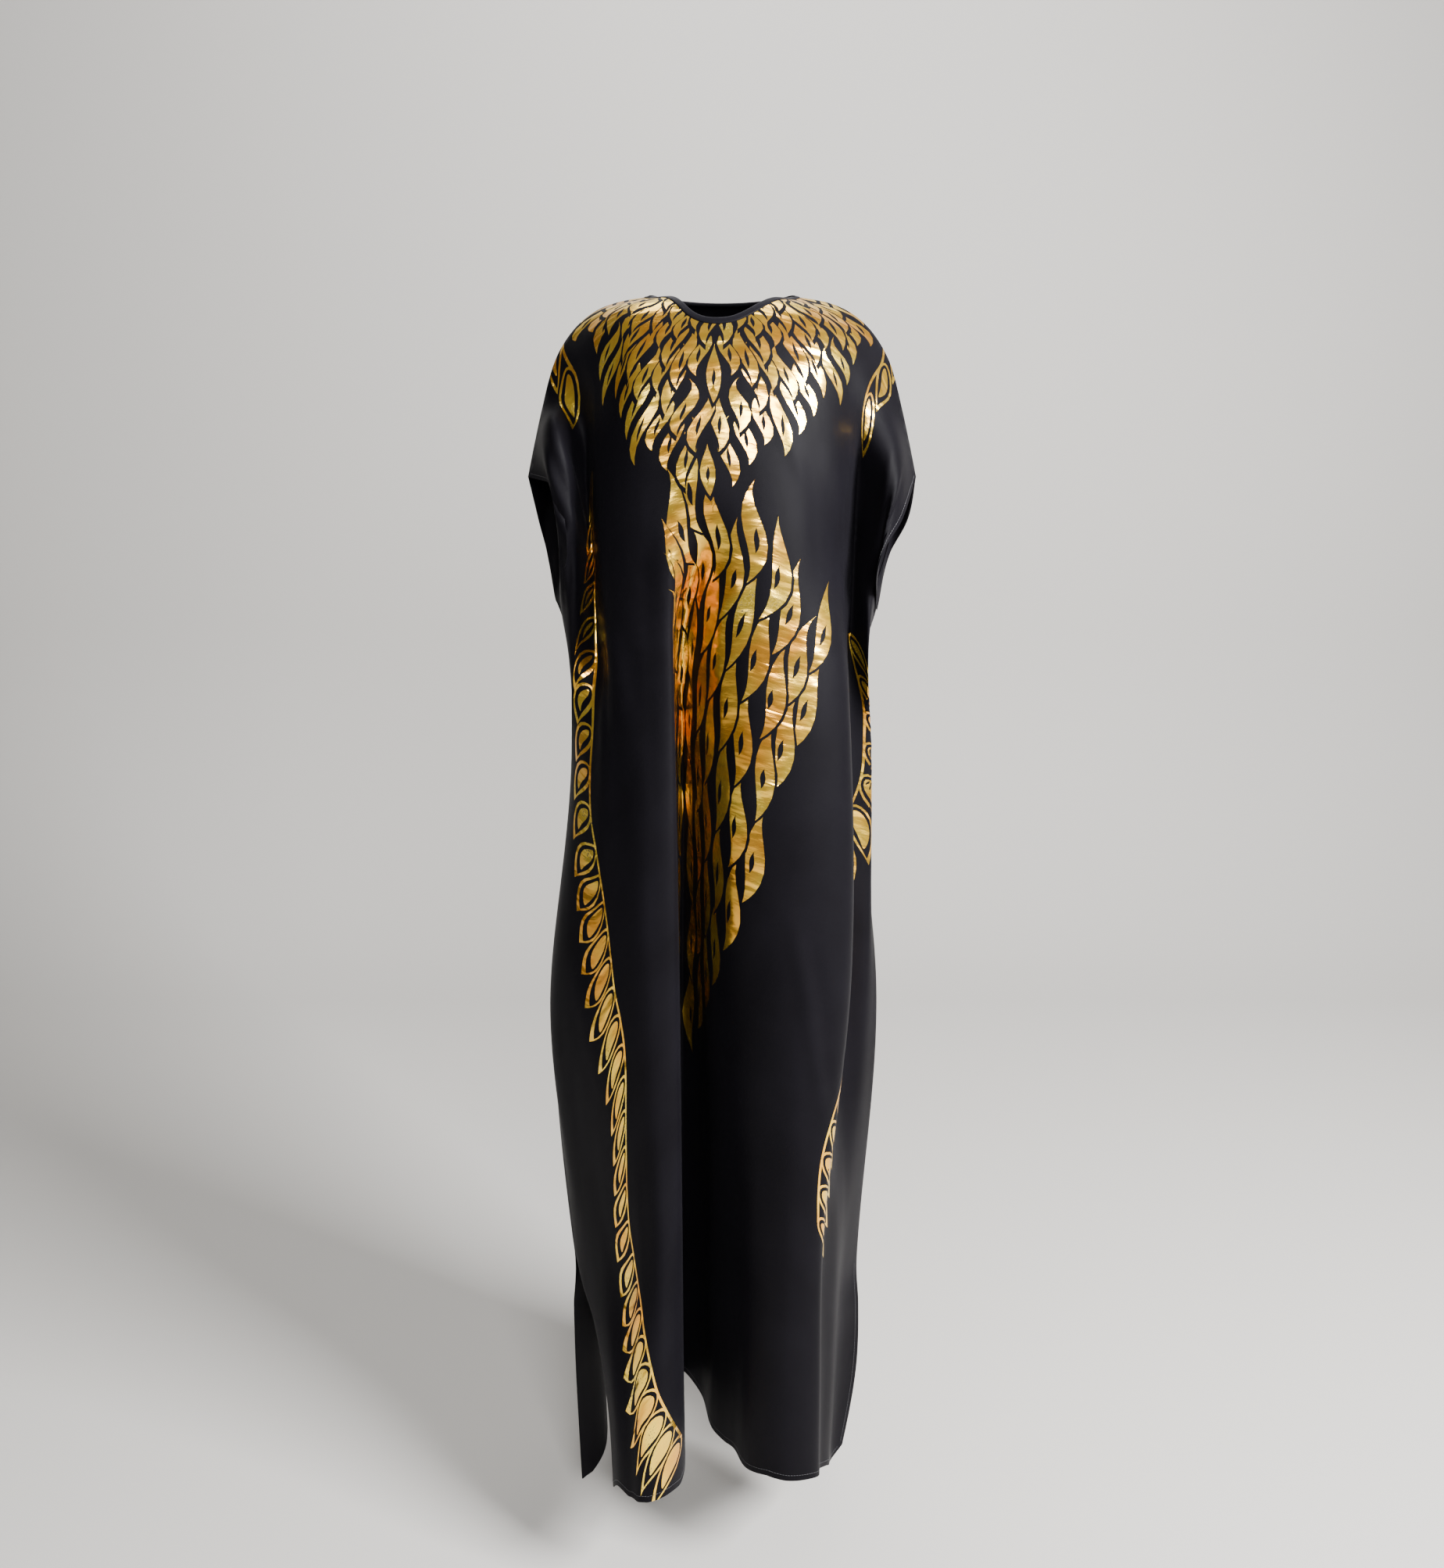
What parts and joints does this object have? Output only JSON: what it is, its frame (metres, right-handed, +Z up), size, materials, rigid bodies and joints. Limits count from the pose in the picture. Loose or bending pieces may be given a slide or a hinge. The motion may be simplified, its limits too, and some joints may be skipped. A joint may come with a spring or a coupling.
{
  "type": "jalabiya",
  "caption": "Ankle-length black crepe robe, worn: two wide panels joined at the shoulders and sides, open sleeves, round bound neck, side slits, gold leaf print.",
  "frame": {"origin": "middle of the shoulder line, just under the neck hole, where the wearer's neck meets the shoulders", "axes": "+Z up, the front of the garment faces -Y, and the wearer's right hand is at -X"},
  "size_m": [0.4497, 0.3472, 1.4769],
  "materials": {
    "crepe": "matte crepe with a soft sheen, printed with gold foil leaves",
    "bias_crepe": "matte crepe cut on the bias"
  },
  "bodies": {
    "root": {"front_panel": "crepe", "back_panel": "crepe", "neck_binding": "bias_crepe", "sleeve_facing_left": "crepe"}
  },
  "joints": []
}
